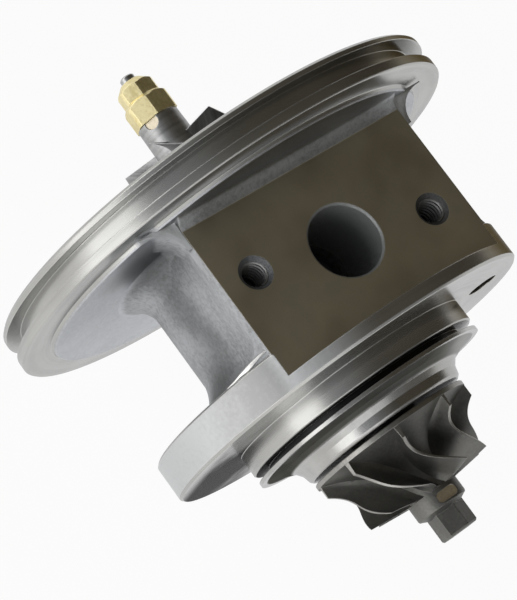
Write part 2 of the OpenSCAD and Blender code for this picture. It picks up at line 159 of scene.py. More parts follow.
def mixColour(tree, factor, first, second):
    fill = [c if isinstance(c, bpy.types.NodeSocket) else (*c, 1) for c in (first, second)]
    return put(tree, "Mix", {0: factor, 6: fill[0], 7: fill[1]}, data_type="RGBA").outputs[2]


def grain(tree, place, scale, detail=3.0, rough=0.55):  # scale per metre
    inputs = {"Vector": place, "Scale": scale, "Detail": detail, "Roughness": rough}
    return put(tree, "TexNoise", inputs).outputs[0]


def lines(tree, value, scale):  # scale per mm
    inputs = {"W": value, "Scale": scale, "Detail": 2.0}
    return put(tree, "TexNoise", inputs, noise_dimensions="1D").outputs[0]


bareGlancing = (0.84, 0.85, 0.86)  # tint of bare metal seen at a glancing angle


def startMaterial(name, metallic, anisotropy=0.0, glancing=bareGlancing):
    material = bpy.data.materials.new(name)
    material.use_nodes = True
    tree = material.node_tree
    tree.nodes.clear()
    shader = put(tree, "BsdfPrincipled", {"Metallic": metallic, "Specular Tint": (*glancing, 1)})
    if anisotropy:
        shader.inputs["Anisotropic"].default_value = anisotropy
        around = put(tree, "Tangent", direction_type="RADIAL", axis="X")
        tree.links.new(around.outputs[0], shader.inputs["Tangent"])
    out = put(tree, "OutputMaterial", {"Surface": shader.outputs[0]})
    out.is_active_output = True
    return material, tree, shader


# place of a shaded point: station along the shaft, radius about it and the surface's direction, in mm
def whereOn(tree):
    coords = put(tree, "TexCoord")
    split = put(tree, "SeparateXYZ", {0: coords.outputs["Object"]}).outputs
    facing = put(tree, "SeparateXYZ", {0: coords.outputs["Normal"]}).outputs
    x, y, z = (calc(tree, "MULTIPLY", split[i], 1 / mm) for i in range(3))
    squares = calc(tree, "ADD", calc(tree, "MULTIPLY", y, y), calc(tree, "MULTIPLY", z, z))
    radius = calc(tree, "SQRT", squares)
    return {
        "spot": coords.outputs["Object"],
        "x": x, "y": y, "z": z,
        "radius": radius,
        "along": calc(tree, "ADD", x, radius),
        "up": facing[2],
        "facing": facing[0],  # along the shaft
    }


def softNormal(tree, radius, samples=6):
    return put(tree, "Bevel", {"Radius": radius}, samples=samples).outputs[0]


# wear on edges: where a slightly rounded surface would turn away from the sharp one
def edgeWear(tree, soft, gain):
    flat = put(tree, "NewGeometry").outputs["Normal"]
    return calc(tree, "MULTIPLY", invert(tree, dot(tree, soft, flat)), gain, True)


def finishMaterial(tree, shader, colour, rough, height, depth, soft):
    tree.links.new(colour, shader.inputs["Base Color"])
    tree.links.new(rough, shader.inputs["Roughness"])
    relief = {"Height": height, "Distance": depth * mm, "Strength": 1.0, "Normal": soft}
    tree.links.new(put(tree, "Bump", relief).outputs[0], shader.inputs["Normal"])


# bearing housing: sand-cast iron, turned where it locates and milled on the drain pad
housingLook = {
    "anisotropy": 0.5,
    "metal": (0.25, 0.95),  # cast skin, machined faces
    "bumpDepth": 0.16,  # mm
    "level": 0.9,  # a face counts as level, or square to the shaft, above this
    "upright": 0.5,  # and as lying around the shaft below this
    "soften": (1.0, 0.35),  # mm, radius that rounds edges of the casting and of machined faces
    "wear": {"colour": (0.72, 0.71, 0.68), "reach": 0.35, "gain": 2.2},
    # noises: grains per metre, detail, roughness
    "sand": (1150.0, 4.0, 0.65),
    "blotch": (120.0, 3.0),
    "smear": (60.0, 2.0),
    "skinShares": (0.6, 0.4),  # of sand and blotch
    "bandShares": (0.5, 0.5),  # of wide turning lines and smear
    # lines per mm
    "turning": 2.6,
    "wideTurning": 0.55,
    "milling": 3.4,
    # finishes: two colours, the tones between them, roughness and what noise adds to it, height of the grain
    "cast": {
        "dark": (0.38, 0.385, 0.39), "light": (0.55, 0.56, 0.575), "tones": (0.36, 0.60),
        "rough": (0.52, 0.25), "height": 1.0,
    },
    "turned": {
        "dark": (0.4284, 0.4242, 0.4074), "light": (0.51, 0.505, 0.485), "tones": (0.35, 0.62),
        "rough": (0.23, 0.04), "height": 0.003,
    },
    "skim": {
        "dark": (0.44, 0.45, 0.47), "light": (0.56, 0.57, 0.59), "tones": (0.35, 0.62),
        "rough": (0.30, 0.12), "height": 0.15,
    },
    "pad": {
        "dark": (0.504, 0.4536, 0.3528), "light": (0.70, 0.63, 0.49), "tones": (0.3, 0.7),
        "rough": (0.36, 0.14), "height": 0.05, "stainAndShade": (0.58, 0.55, 0.42), "stainAndShadeTones": (0.4, 0.75),
    },
    "satin": {  # near part of the flange's edge
        "dark": (0.38, 0.38, 0.375), "light": (0.62, 0.625, 0.625), "mottle": 1.3,
        "rough": 0.43, "height": 0.04,
        "across": (-22.0, -8.0),  # where it gives way to turned metal
        "darkens": (11.0, 25.0), "clears": (28.2, 30.5),  # heights of a band of painted shade across it
    },
    # where they lie, in mm
    "discEdge": (-37.28, -36.7),  # where the skimmed disc face gives way to the cast fillet
    "skimEdge": -37.6,
    "flangeEdge": -7.9,
    "flangeFace": 0.05,
    "padHeight": (30.15, 30.3),
    # painted light: the web's rounded crest made paler, as lit; its radius rounds the edge
    "crest": {"colour": (0.80, 0.81, 0.82), "share": 0.9, "height": 30.02, "half": 0.1, "radius": 2.2},
    "holes": (  # x, y, reach, floor, colour; the colour is painted shade, set hole by hole
        (-18.4, 0.0, 7.9, 12.0, (0.36, 0.37, 0.37)),
        (-21.83, -19.25, 3.7, 24.0, (0.15, 0.155, 0.16)),
        (-14.97, 19.25, 3.7, 24.0, (0.10, 0.10, 0.098)),
    ),
    "bore": {"rough": 0.3, "metal": 0.35},
    # painted shade that mostly shows at a glancing angle, as darker reflection
    "farSideShade": {  # painted darker, brownish reflection on the far side of the rims
        "glancing": (0.16, 0.13, 0.085), "colour": (0.22, 0.19, 0.135), "share": 0.6, "across": (2.0, 24.0),
    },
    "heat": {  # painted dark reflection on the turbine face of the flange
        "glancing": (0.015, 0.015, 0.022), "colour": (0.41, 0.405, 0.395),
        "across": (-39.2, -33.5), "radius": (39.3, 39.8),
        "fades": {"y": (-24.0, -2.0), "z": (-6.0, 15.0)}, "ragged": 26.0,
    },
    # painted shade in hollows, along the crease, in corners and in the fillet above the pad, and a painted
    # lighter spot
    # painted shade in hollows, from ambient occlusion: colour, reach in mm, mottle and tones
    "hollowShade": {"colour": (0.10, 0.10, 0.098), "reach": 14.0, "mottle": 0.5, "tones": (0.25, 0.8)},
    "crease": {"height": 6.0, "half": 8.5, "strength": 0.5, "ragged": 9.0},  # painted shade along the neck's crease
    "corners": (  # painted shade in corners: place, core, reach and strength
        ((-37.3, 28.5, 14.0), 2.4, 12.0, 0.8),  # painted shadow where disc, neck and block meet
        ((-11.6, 25.0, 1.0), 1.5, 7.5, 0.7),  # painted shade at the neck's foot
    ),
    "touch": {"place": (-38.2, -32.4, 29.2), "reach": (1.2, 3.0)},  # raw cast skin where the web meets the disc, in the cast's light tone as painted light over a dark notch
    "oil": {  # painted shade in the fillet above the pad
        "colour": (0.11, 0.106, 0.09), "strength": 0.52,
        "height": 30.3, "station": -37.45, "across": (18.0, 27.0),
    },
    "gap": {"colour": (0.018, 0.018, 0.018), "station": 4.55},  # painted shade in the gap under the heat shield
}


def housingNoise(tree, look, at):
    sand = grain(tree, at["spot"], *look["sand"])
    blotch = grain(tree, at["spot"], *look["blotch"])
    smear = grain(tree, at["spot"], *look["smear"])
    wide = lines(tree, at["along"], look["wideTurning"])
    return {
        "sand": sand,
        "blotch": blotch,
        "smear": smear,
        "skin": blend(tree, sand, blotch, look["skinShares"]),
        "fine": lines(tree, at["along"], look["turning"]),
        "bands": blend(tree, wide, smear, look["bandShares"]),
        "milled": lines(tree, at["x"], look["milling"]),
    }


# where each finish of the housing lies, as masks from 0 to 1
def housingZones(tree, look, at):
    facesUp = above(tree, at["up"], look["level"])
    aroundShaft = below(tree, absolute(tree, at["facing"]), look["upright"])
    onDisc = fall(tree, at["x"], *look["discEdge"])
    onFlange = above(tree, at["x"], look["flangeEdge"])
    offFlange = below(tree, at["x"], look["flangeEdge"])
    padLow, padHigh = look["padHeight"]
    abovePad = above(tree, at["z"], padLow)
    onPad = allOf(tree, abovePad, facesUp, below(tree, at["z"], padHigh))
    rims = anyOf(tree, onDisc, onFlange)
    here = point(tree, at["x"], at["y"], at["z"])
    # raw cast skin where the web meets the disc, later given painted light
    rawLit = fall(tree, distance(tree, here, look["touch"]["place"]), *look["touch"]["reach"])
    turned = allOf(tree, rims, invert(tree, rawLit))
    crest = look["crest"]
    offCrest = absolute(tree, calc(tree, "SUBTRACT", at["z"], crest["height"]))
    nearSide = fall(tree, at["y"], *look["satin"]["across"])
    behindFace = below(tree, at["x"], look["flangeFace"])
    flat = point(tree, at["x"], at["y"])
    inHoles = 0.0
    # painted shade inside the holes, one colour per hole
    boreShade = look["holes"][0][-1]
    for holeX, holeY, reach, floor, shade in look["holes"]:
        away = distance(tree, flat, (holeX, holeY, 0))
        inside = allOf(tree, below(tree, away, reach), above(tree, at["z"], floor))
        inHoles = anyOf(tree, inHoles, inside)
        boreShade = mixColour(tree, inside, boreShade, shade)
    inHoles = allOf(tree, inHoles, below(tree, at["up"], look["level"]))
    return {
        "flange": onFlange,
        "offFlange": invert(tree, onFlange),
        "abovePad": abovePad,
        "pad": onPad,
        "rims": rims,
        "aroundShaft": aroundShaft,
        "rawLit": rawLit,
        "turned": turned,
        "skim": allOf(tree, above(tree, at["x"], look["skimEdge"]), offFlange),
        "satin": allOf(tree, onFlange, behindFace, aroundShaft, nearSide),
        "crest": allOf(tree, below(tree, offCrest, crest["half"]), facesUp),
        "holes": inHoles,
        "boreShade": boreShade,
        "machined": anyOf(tree, turned, anyOf(tree, onPad, inHoles)),
        # painted shade in the gap under the heat shield
        "gap": above(tree, at["x"], look["gap"]["station"]),
    }


# painted shade and darker reflections on the housing, as masks from 0 to 1
def housingPaintedShade(tree, look, at, noise, zone):
    farSideShade, heat, crease, oil = (look[name] for name in ("farSideShade", "heat", "crease", "oil"))
    # painted darker reflection on the rims' far side
    farSideShaded = allOf(tree, zone["rims"], zone["aroundShaft"], rise(tree, at["y"], *farSideShade["across"]))
    onFace = above(tree, at["facing"], look["level"])
    # painted dark reflection on the flange's turbine face, with ragged edges
    heated = allOf(tree, zone["flange"], onFace, rise(tree, at["y"], *heat["across"]))
    heated = allOf(tree, heated, fall(tree, at["radius"], *heat["radius"]))
    ragged = stray(tree, noise["blotch"], heat["ragged"])
    for way, limits in heat["fades"].items():
        heated = allOf(tree, heated, fall(tree, calc(tree, "ADD", at[way], ragged), *limits))
    # painted shade along the neck's crease, with a ragged edge
    offCrease = absolute(tree, calc(tree, "SUBTRACT", at["z"], crease["height"]))
    patchy = calc(tree, "ADD", offCrease, stray(tree, noise["blotch"], crease["ragged"]))
    aside = absolute(tree, at["y"])
    eitherSide = point(tree, at["x"], aside, at["z"])
    # painted shade and shadow in the corners, the same on either side
    cornerShade = 0.0
    for place, core, reach, strength in look["corners"]:
        near = fall(tree, distance(tree, eitherSide, place), core, reach)
        cornerShade = anyOf(tree, cornerShade, calc(tree, "MULTIPLY", near, strength))
    # painted shade in the fillet above the pad
    oily = allOf(tree, above(tree, at["z"], oil["height"]), above(tree, at["x"], oil["station"]))
    oily = allOf(tree, oily, zone["offFlange"], fall(tree, aside, *oil["across"]))
    return {
        "farSideShade": farSideShaded,
        "heat": heated,
        "crease": calc(tree, "MULTIPLY", fall(tree, patchy, 0.0, crease["half"]), crease["strength"]),
        "cornerShade": allOf(tree, cornerShade, zone["offFlange"]),
        "oil": calc(tree, "MULTIPLY", oily, oil["strength"]),
    }


def twoTone(tree, tone, finish):
    return mixColour(tree, rise(tree, tone, *finish["tones"]), finish["dark"], finish["light"])


def housingColour(tree, look, at, noise, zone, stainAndShade, worn):
    hollowShade, satin, pad = look["hollowShade"], look["satin"], look["pad"]
    # painted shade in hollows, from ambient occlusion, then along the neck's crease
    occlusion = {"Distance": hollowShade["reach"] * mm}
    openness = put(tree, "AmbientOcclusion", occlusion, samples=8, only_local=True).outputs["AO"]
    corner = calc(tree, "ADD", openness, stray(tree, noise["sand"], hollowShade["mottle"]))
    castColour = twoTone(tree, noise["skin"], look["cast"])
    castColour = mixColour(tree, rise(tree, corner, *hollowShade["tones"]), hollowShade["colour"], castColour)
    castColour = mixColour(tree, stainAndShade["crease"], castColour, hollowShade["colour"])

    # painted shade: the satin edge darker between two heights, lighter again near the pad
    darkens, clears = (rise(tree, at["z"], *satin[name]) for name in ("darkens", "clears"))
    shade = calc(tree, "SUBTRACT", darkens, clears)
    satinTone = calc(tree, "ADD", shade, stray(tree, noise["skin"], satin["mottle"]), True)
    satinColour = mixColour(tree, satinTone, satin["light"], satin["dark"])
    turnedColour = twoTone(tree, noise["bands"], look["turned"])
    turnedColour = mixColour(tree, zone["skim"], turnedColour, twoTone(tree, noise["skin"], look["skim"]))
    turnedColour = mixColour(tree, zone["satin"], turnedColour, satinColour)

    padColour = twoTone(tree, noise["smear"], pad)
    padColour = mixColour(tree, rise(tree, noise["blotch"], *pad["stainAndShadeTones"]), padColour, pad["stainAndShade"])

    farSideShaded = calc(tree, "MULTIPLY", stainAndShade["farSideShade"], look["farSideShade"]["share"])
    crestLit = calc(tree, "MULTIPLY", zone["crest"], look["crest"]["share"])
    wearing = allOf(tree, worn, anyOf(tree, zone["machined"], zone["abovePad"]))
    colour = mixColour(tree, zone["turned"], castColour, turnedColour)
    # layers over the finishes: painted shade in corners, a painted lighter spot, painted shade above the pad,
    # darker reflection on the rims' far side and flange face, a painted lit crest, the pad, painted shade in
    # holes, worn edges, painted shade in the gap
    for mask, layer in (
        (stainAndShade["cornerShade"], hollowShade["colour"]),
        (zone["rawLit"], look["cast"]["light"]),
        (stainAndShade["oil"], look["oil"]["colour"]),
        (farSideShaded, look["farSideShade"]["colour"]),
        (stainAndShade["heat"], look["heat"]["colour"]),
        (crestLit, look["crest"]["colour"]),
        (zone["pad"], padColour),
        (zone["holes"], zone["boreShade"]),
        (wearing, look["wear"]["colour"]),
        (zone["gap"], look["gap"]["colour"]),
    ):
        colour = mixColour(tree, mask, colour, layer)
    return colour


def housingRough(tree, look, noise, zone):
    cast, turned, pad, skim = (look[name]["rough"] for name in ("cast", "turned", "pad", "skim"))
    rough = vary(tree, turned[0], noise["fine"], turned[1])
    rough = mixValue(tree, zone["skim"], rough, vary(tree, skim[0], noise["blotch"], skim[1]))
    rough = mixValue(tree, zone["satin"], rough, look["satin"]["rough"])
    rough = mixValue(tree, zone["turned"], vary(tree, cast[0], noise["sand"], cast[1]), rough)
    rough = mixValue(tree, zone["pad"], rough, vary(tree, pad[0], noise["smear"], pad[1]))
    return mixValue(tree, zone["holes"], rough, look["bore"]["rough"])


def housingHeight(tree, look, noise, zone):
    grains = {"cast": "sand", "turned": "fine", "pad": "milled", "skim": "sand", "satin": "sand"}
    relief = {
        finish: calc(tree, "MULTIPLY", noise[name], look[finish]["height"]) for finish, name in grains.items()
    }
    height = mixValue(tree, zone["skim"], relief["turned"], relief["skim"])
    height = mixValue(tree, zone["satin"], height, relief["satin"])
    height = mixValue(tree, zone["turned"], relief["cast"], height)
    return mixValue(tree, zone["pad"], height, relief["pad"])


def housingMaterial(look):
    material, tree, shader = startMaterial("castAndTurnedIron", 0.0, look["anisotropy"])
    at = whereOn(tree)
    noise = housingNoise(tree, look, at)
    zone = housingZones(tree, look, at)
    stainAndShade = housingPaintedShade(tree, look, at, noise, zone)

    worn = edgeWear(tree, softNormal(tree, look["wear"]["reach"] * mm), look["wear"]["gain"])
    castSoft, machinedSoft = look["soften"]
    softRadius = mixValue(tree, zone["machined"], castSoft * mm, machinedSoft * mm)
    softRadius = mixValue(tree, zone["crest"], softRadius, look["crest"]["radius"] * mm)
    soft = softNormal(tree, softRadius, samples=8)

    # painted darker reflection at glancing angles, on the rims' far side and the flange face
    tint = mixColour(tree, stainAndShade["farSideShade"], bareGlancing, look["farSideShade"]["glancing"])
    tint = mixColour(tree, stainAndShade["heat"], tint, look["heat"]["glancing"])
    tree.links.new(tint, shader.inputs["Specular Tint"])
    metal = mixValue(tree, zone["machined"], *look["metal"])
    metal = mixValue(tree, zone["holes"], metal, look["bore"]["metal"])
    tree.links.new(metal, shader.inputs["Metallic"])

    colour = housingColour(tree, look, at, noise, zone, stainAndShade, worn)
    rough = housingRough(tree, look, noise, zone)
    height = housingHeight(tree, look, noise, zone)
    finishMaterial(tree, shader, colour, rough, height, look["bumpDepth"], soft)
    return material


# one builder for the plainer metals: turned lines, smears, worn edges
metals = {
    "ground_steel": {
        "colour": (0.55, 0.55, 0.54), "dark": (0.38, 0.38, 0.37), "rough": 0.25, "metal": 1.0, "turning": 3.0,
    },
    "nickel_alloy": {
        "colour": (0.20, 0.196, 0.182), "dark": (0.15, 0.147, 0.137), "rough": 0.48, "metal": 0.85,
    },
    "ground_alloy": {
        "colour": (0.38, 0.37, 0.345), "dark": (0.29, 0.28, 0.265), "rough": 0.36, "metal": 1.0,
    },
    "ground_spot": {
        "colour": (0.90, 0.80, 0.62), "dark": (0.74, 0.64, 0.48), "rough": 0.40, "metal": 0.9,
    },
    # painted highlight: near-white, paler than the ground metals here
    "flash_highlight": {
        "colour": (0.86, 0.85, 0.82), "dark": (0.83, 0.82, 0.79), "rough": 0.36, "metal": 1.0,
    },
    "thread_iron": {
        "colour": (0.40, 0.40, 0.39), "dark": (0.30, 0.30, 0.29), "rough": 0.42, "metal": 0.9,
    },
    "milled_aluminium": {
        "colour": (0.46, 0.46, 0.455), "dark": (0.32, 0.32, 0.315), "rough": 0.36, "metal": 1.0, "turning": 1.2,
    },
    "nut_brass": {
        "colour": (0.94, 0.83, 0.48), "dark": (0.74, 0.62, 0.30), "rough": 0.34, "metal": 1.0,
    },
    "bearing_bronze": {
        "colour": (0.66, 0.46, 0.20), "dark": (0.46, 0.30, 0.13), "rough": 0.30, "metal": 1.0, "turning": 3.0,
    },
    "spring_steel": {
        "colour": (0.16, 0.16, 0.17), "dark": (0.09, 0.09, 0.10), "rough": 0.34, "metal": 0.9,
    },
    "sheet_steel": {
        "colour": (0.48, 0.475, 0.46), "dark": (0.38, 0.375, 0.36), "rough": 0.30, "metal": 1.0,
    },
    "plate_steel": {
        "colour": (0.52, 0.52, 0.52), "dark": (0.36, 0.36, 0.36), "rough": 0.30, "metal": 1.0, "turning": 2.4,
    },
    "ring_iron": {
        "colour": (0.30, 0.30, 0.30), "dark": (0.20, 0.20, 0.20), "rough": 0.32, "metal": 1.0, "turning": 2.0,
    },
}

# what they share
metalGrain = {
    "speck": (1600.0, 4.0),  # grains per metre, detail
    "smear": (150.0, 3.0),
    "toneShares": (0.4, 0.6),  # of speck and smear
    "turnedShares": (0.6, 0.4),  # of that and the turning lines
    "tones": (0.36, 0.62),
    "rough": (-0.08, 0.18),  # added to a metal's own, and by its tone
    "wear": (0.2, 1.8),  # mm reach, and gain, of the worn edges
    "polish": (1.35, 0.08, 0.85),  # gain, lift and limit of their colour
    "anisotropy": 0.45,  # of turned metals
    "turnedDepth": 0.006,  # mm
    "speckDepth": 0.025,
}


def metalMaterial(name, look, shared):
    turning = look.get("turning", 0.0)  # lines per mm
    material, tree, shader = startMaterial(name, look["metal"], shared["anisotropy"] if turning else 0.0)
    at = whereOn(tree)
    speck = grain(tree, at["spot"], *shared["speck"])
    smear = grain(tree, at["spot"], *shared["smear"])
    reach, wearGain = shared["wear"]
    soft = softNormal(tree, reach * mm)
    worn = edgeWear(tree, soft, wearGain)
    tone = blend(tree, speck, smear, shared["toneShares"])
    height, depth = speck, shared["speckDepth"]
    if turning:
        height, depth = lines(tree, at["along"], turning), shared["turnedDepth"]
        tone = blend(tree, tone, height, shared["turnedShares"])
    colour = mixColour(tree, rise(tree, tone, *shared["tones"]), look["dark"], look["colour"])
    gain, lift, limit = shared["polish"]
    colour = mixColour(tree, worn, colour, tuple(min(limit, gain * c + lift) for c in look["colour"]))
    added, byTone = shared["rough"]
    rough = vary(tree, look["rough"] + added, tone, byTone)
    finishMaterial(tree, shader, colour, rough, height, depth, soft)
    return material


rubberLook = {
    "colour": (0.022, 0.022, 0.022),
    "dark": (0.012, 0.012, 0.012),
    "dust": (900.0, 4.0),
    "rough": (0.5, 0.2),  # least, and what dust adds
    "depth": 0.02,  # mm
}


def rubberMaterial(look):
    material, tree, shader = startMaterial("seal_rubber", 0.0, 0.0, (1, 1, 1))
    dust = grain(tree, whereOn(tree)["spot"], *look["dust"])
    colour = mixColour(tree, dust, look["dark"], look["colour"])
    least, added = look["rough"]
    flat = put(tree, "NewGeometry").outputs["Normal"]
    finishMaterial(tree, shader, colour, vary(tree, least, dust, added), dust, look["depth"], flat)
    return material


# heat shield: smooth pressed sheet with a dull band of painted shade on its cone
shieldLook = {
    "colour": (0.50, 0.495, 0.48),
    "dark": (0.42, 0.415, 0.40),
    "tones": (0.35, 0.65),
    "stainAndShade": (0.13, 0.129, 0.120),
    "shadeLight": (0.169, 0.1677, 0.156),
    "stainAndShadeTones": (0.3, 0.7),
    "shadeGlancing": (0.16, 0.16, 0.15),
    "inner": (19.3, 20.1),  # radii between which the painted shade band begins
    "outer": (24.2, 24.7),  # and ends
    "fade": (3.0, 17.0),  # across the shaft, where it thins out
    "thinning": 0.7,
    "rough": (0.26, 0.5),  # bare, in the painted shade band
    "smear": (150.0, 3.0),
    "speck": (1400.0, 3.0),
    "wear": (0.2, 1.2),
    "depth": 0.006,  # mm
}


def shieldMaterial(look):
    material, tree, shader = startMaterial("pressed_shield", 1.0)
    at = whereOn(tree)
    smear = grain(tree, at["spot"], *look["smear"])
    speck = grain(tree, at["spot"], *look["speck"])
    reach, gain = look["wear"]
    soft = softNormal(tree, reach * mm)
    worn = edgeWear(tree, soft, gain)
    # painted shade band on the cone, thinning across the shaft, with darker glancing reflection
    shaded = allOf(tree, rise(tree, at["radius"], *look["inner"]), fall(tree, at["radius"], *look["outer"]))
    thin = calc(tree, "MULTIPLY", rise(tree, at["y"], *look["fade"]), look["thinning"])
    shaded = allOf(tree, shaded, invert(tree, thin))
    steel = mixColour(tree, rise(tree, smear, *look["tones"]), look["dark"], look["colour"])
    shadeTone = mixColour(tree, rise(tree, smear, *look["stainAndShadeTones"]), look["stainAndShade"], look["shadeLight"])
    colour = mixColour(tree, shaded, steel, shadeTone)
    colour = mixColour(tree, worn, colour, look["colour"])
    rough = mixValue(tree, shaded, *look["rough"])
    tint = mixColour(tree, shaded, bareGlancing, look["shadeGlancing"])
    tree.links.new(tint, shader.inputs["Specular Tint"])
    finishMaterial(tree, shader, colour, rough, speck, look["depth"], soft)
    return material


finishes = {name: metalMaterial(name, look, metalGrain) for name, look in metals.items()}
finishes["shield"] = shieldMaterial(shieldLook)
finishes["housing"] = housingMaterial(housingLook)
finishes["rubber"] = rubberMaterial(rubberLook)

finishOfNode = {
    "bearing_housing": "housing",
    "rotor_shaft": "ground_steel",
    "turbine_wheel": "nickel_alloy",
    "compressor_wheel": "milled_aluminium",
    "compressor_nut": "nut_brass",
    "bush_compressor": "bearing_bronze",
    "bush_turbine": "bearing_bronze",
    "bush_circlips": "spring_steel",
    "thrust_washer": "ground_steel",
    "thrust_collar": "ground_steel",
    "thrust_bearing": "bearing_bronze",
    "thrust_pins": "ground_steel",
    "oil_flinger": "ground_steel",
    "oil_baffle": "sheet_steel",
    "seal_plate": "plate_steel",
    "seal_plate_oring": "rubber",
    "seal_plate_circlip": "spring_steel",
    "compressor_piston_ring": "ring_iron",
    "turbine_piston_rings": "ring_iron",
    "heat_shield": "shield",
}

for nodeName, finishName in finishOfNode.items():
    piece = nodes[nodeName]
    piece.data.materials.clear()
    piece.data.materials.append(finishes[finishName])
print("finishes:", len(finishes), "on", len(finishOfNode), "nodes")


# mesh helpers
def meshObject(name, points, faces):
    mesh = bpy.data.meshes.new(name)
    mesh.from_pydata([tuple(c * mm for c in point) for point in points], [], faces)
    mesh.validate()
    made = bpy.data.objects.new(name, mesh)
    scene.collection.objects.link(made)
    return made


def faceOutwards(made):
    shape = bmesh.new()
    shape.from_mesh(made.data)
    bmesh.ops.recalc_face_normals(shape, faces=shape.faces)
    shape.to_mesh(made.data)
    shape.free()


def solidObject(name, points, faces):
    made = meshObject(name, points, faces)
    faceOutwards(made)
    return made


def skinBetween(rows, count):  # faces between rows of points, each row a closed loop
    faces = []
    for row in range(rows - 1):
        for i in range(count):
            k = (i + 1) % count
            faces.append((row * count + i, row * count + k, (row + 1) * count + k, (row + 1) * count + i))
    return faces


def endCaps(rows, count):
    return [tuple(range(count)), tuple(range((rows - 1) * count, rows * count))]


def onShaft(station, radius, angle):  # angle in degrees, from Z towards Y
    turn = math.radians(angle)
    return (station, radius * math.sin(turn), radius * math.cos(turn))


def turnedRing(name, profile, steps):  # a closed profile of (station, radius), swept about the shaft
    count = len(profile)
    points = [onShaft(x, r, 360 * i / steps) for i in range(steps) for x, r in profile]
    faces = []
    for i in range(steps):
        for j in range(count):
            k, nextRow = (j + 1) % count, (i + 1) % steps
            faces.append((i * count + j, i * count + k, nextRow * count + k, nextRow * count + j))
    return solidObject(name, points, faces)


def prism(name, corners, start, end, chamfer):  # a bar of flat sides along the shaft, its far edge broken
    rows = [(start, 1.0), (end - chamfer, 1.0), (end, 1.0 - chamfer / corners[0][0])]
    sides = len(corners)
    points = [onShaft(x, r * scale, a) for x, scale in rows for r, a in corners]
    return solidObject(name, points, endCaps(3, sides) + skinBetween(3, sides))


# a grinder's path for a flat mark on a hub: round, or drawn out to either side by its run
def markCutter(name, surface, mark, sides=24, clear=2.0):
    points = []
    for height in (surface - mark["depth"], surface + clear):
        for i in range(sides):
            turn = math.tau * i / sides
            station = mark["station"] + mark["radius"] * math.cos(turn)
            side = mark["radius"] * math.sin(turn) + math.copysign(mark["run"], math.sin(turn))
            reach, tilt = math.hypot(side, height), math.degrees(math.atan2(side, height))
            points.append(onShaft(station, reach, mark["direction"] + tilt))
    return solidObject(name, points, skinBetween(2, sides) + endCaps(2, sides))


def bladeSet(name, count, first, camber, half, rows, cols):
    points, faces = [], []
    layer = (rows + 1) * (cols + 1)
    for blade in range(count):
        base = len(points)
        for way in (-1, 1):
            for i in range(rows + 1):
                for j in range(cols + 1):
                    x, r, a = camber(i / rows, j / cols)
                    swing = math.degrees(math.asin(min(0.9, half(i / rows, j / cols, x, r) / r)))
                    points.append(onShaft(x, r, first + 360 * blade / count + a + way * swing))

        def at(i, j, side):
            return base + side * layer + i * (cols + 1) + j

        for i in range(rows):
            for j in range(cols):
                patch = ((i, j), (i + 1, j), (i + 1, j + 1), (i, j + 1))
                faces += [tuple(at(*corner, side) for corner in patch) for side in (0, 1)]
            for j in (0, cols):
                faces.append((at(i, j, 0), at(i, j, 1), at(i + 1, j, 1), at(i + 1, j, 0)))
        for j in range(cols):
            for i in (0, rows):
                faces.append((at(i, j, 0), at(i, j, 1), at(i, j + 1, 1), at(i, j + 1, 0)))
    return solidObject(name, points, faces)


def carve(base, tool, how):
    step = base.modifiers.new("carve", "BOOLEAN")
    step.operation = how
    step.solver = "MANIFOLD"
    step.object = tool
    bpy.context.view_layer.update()
    result = bpy.data.meshes.new_from_object(base.evaluated_get(bpy.context.evaluated_depsgraph_get()))
    base.modifiers.clear()
    base.data = result
    bpy.data.objects.remove(tool)


def smoothBelow(made, angle):
    made.data.shade_smooth()
    made.data.set_sharp_from_angle(angle=math.radians(angle))


def dress(made, looks, choose):
    made.data.materials.clear()
    for look in looks:
        made.data.materials.append(finishes[look])
    for face in made.data.polygons:
        x, y, z = (c / mm for c in face.center)
        face.material_index = choose(x, math.hypot(y, z), face.normal)


# true on a flat mark that faces this way from the shaft
def facesOut(normal, direction, share=0.999):
    return normal.dot(Vector(onShaft(0, 1, direction))) > share


# turbine wheel: investment-cast blades with ground tips, and a hexagon on its nose
turbine = {
    "blades": 9,
    "first": -23.0,  # degrees from the drain's direction
    "rows": 26, "cols": 9,  # steps along a blade and out from its root
    "hubRows": 40, "steps": 144,  # steps along the hub and around it
    "smooth": 38,  # degrees
    "bore": 0.4,
    "boss": (10.3, 10.6, 7.5),  # start, step and radius of the boss behind the wheel
    "rimRadius": 17.4, "rimChamfer": 0.15,
    "outRadius": 13.8,
    "hubRadius": 5.5, "hubPower": 3.2,
    "back": 12.7, "rim": 13.7, "tip": 16.25, "out": 25.8, "hubEnd": 27.0, "ring": 30.3,
    "ringEdge": ((0.5, 0.0), (0.12, 0.14), (0.0, 0.5)),  # setback and drop of the edge before the nose
    "inset": 0.1,  # how far the blades stay inside the rim
    "flare": (5.2, 3.5, 2.5),  # run, growth and power of the tips towards the rim
    "rootSink": (1.1, 5),  # how far the roots reach into the hub, and how soon
    "rootLean": 0.6,
    "sweep": (17.0, 8.8, 36.0),  # start, run and degrees
    "tipHalf": 0.33, "rootHalf": 0.58, "rootPower": 1.4,  # half thickness
    "thinning": (0.8, 0.35),  # start along the blade, and share lost at its end
    "fillet": (0.9, 0.55, 4),  # size, reach and how soon along the blade
    "nose": (31.3, 3.0),  # end and radius of the turned part
    "hexagon": {"sink": 1.0, "end": 35.9, "corner": 4.05, "turn": 2.0, "chamfer": 0.35},
    "groundRim": 0.14, "groundTip": 0.12,  # faces this near the rim and the tips' sweep are ground
    "balance": {"station": 28.7, "direction": -3.0, "depth": 0.5, "radius": 1.1, "run": 1.3},
    "markReach": (1.6, 0.02),  # along the shaft and below the hub
}


def turbineHub(x):
    left = max(0.0, 1 - (x - turbine["rim"]) / (turbine["hubEnd"] - turbine["rim"]))
    return turbine["hubRadius"] + (turbine["rimRadius"] - turbine["hubRadius"]) * left ** turbine["hubPower"]


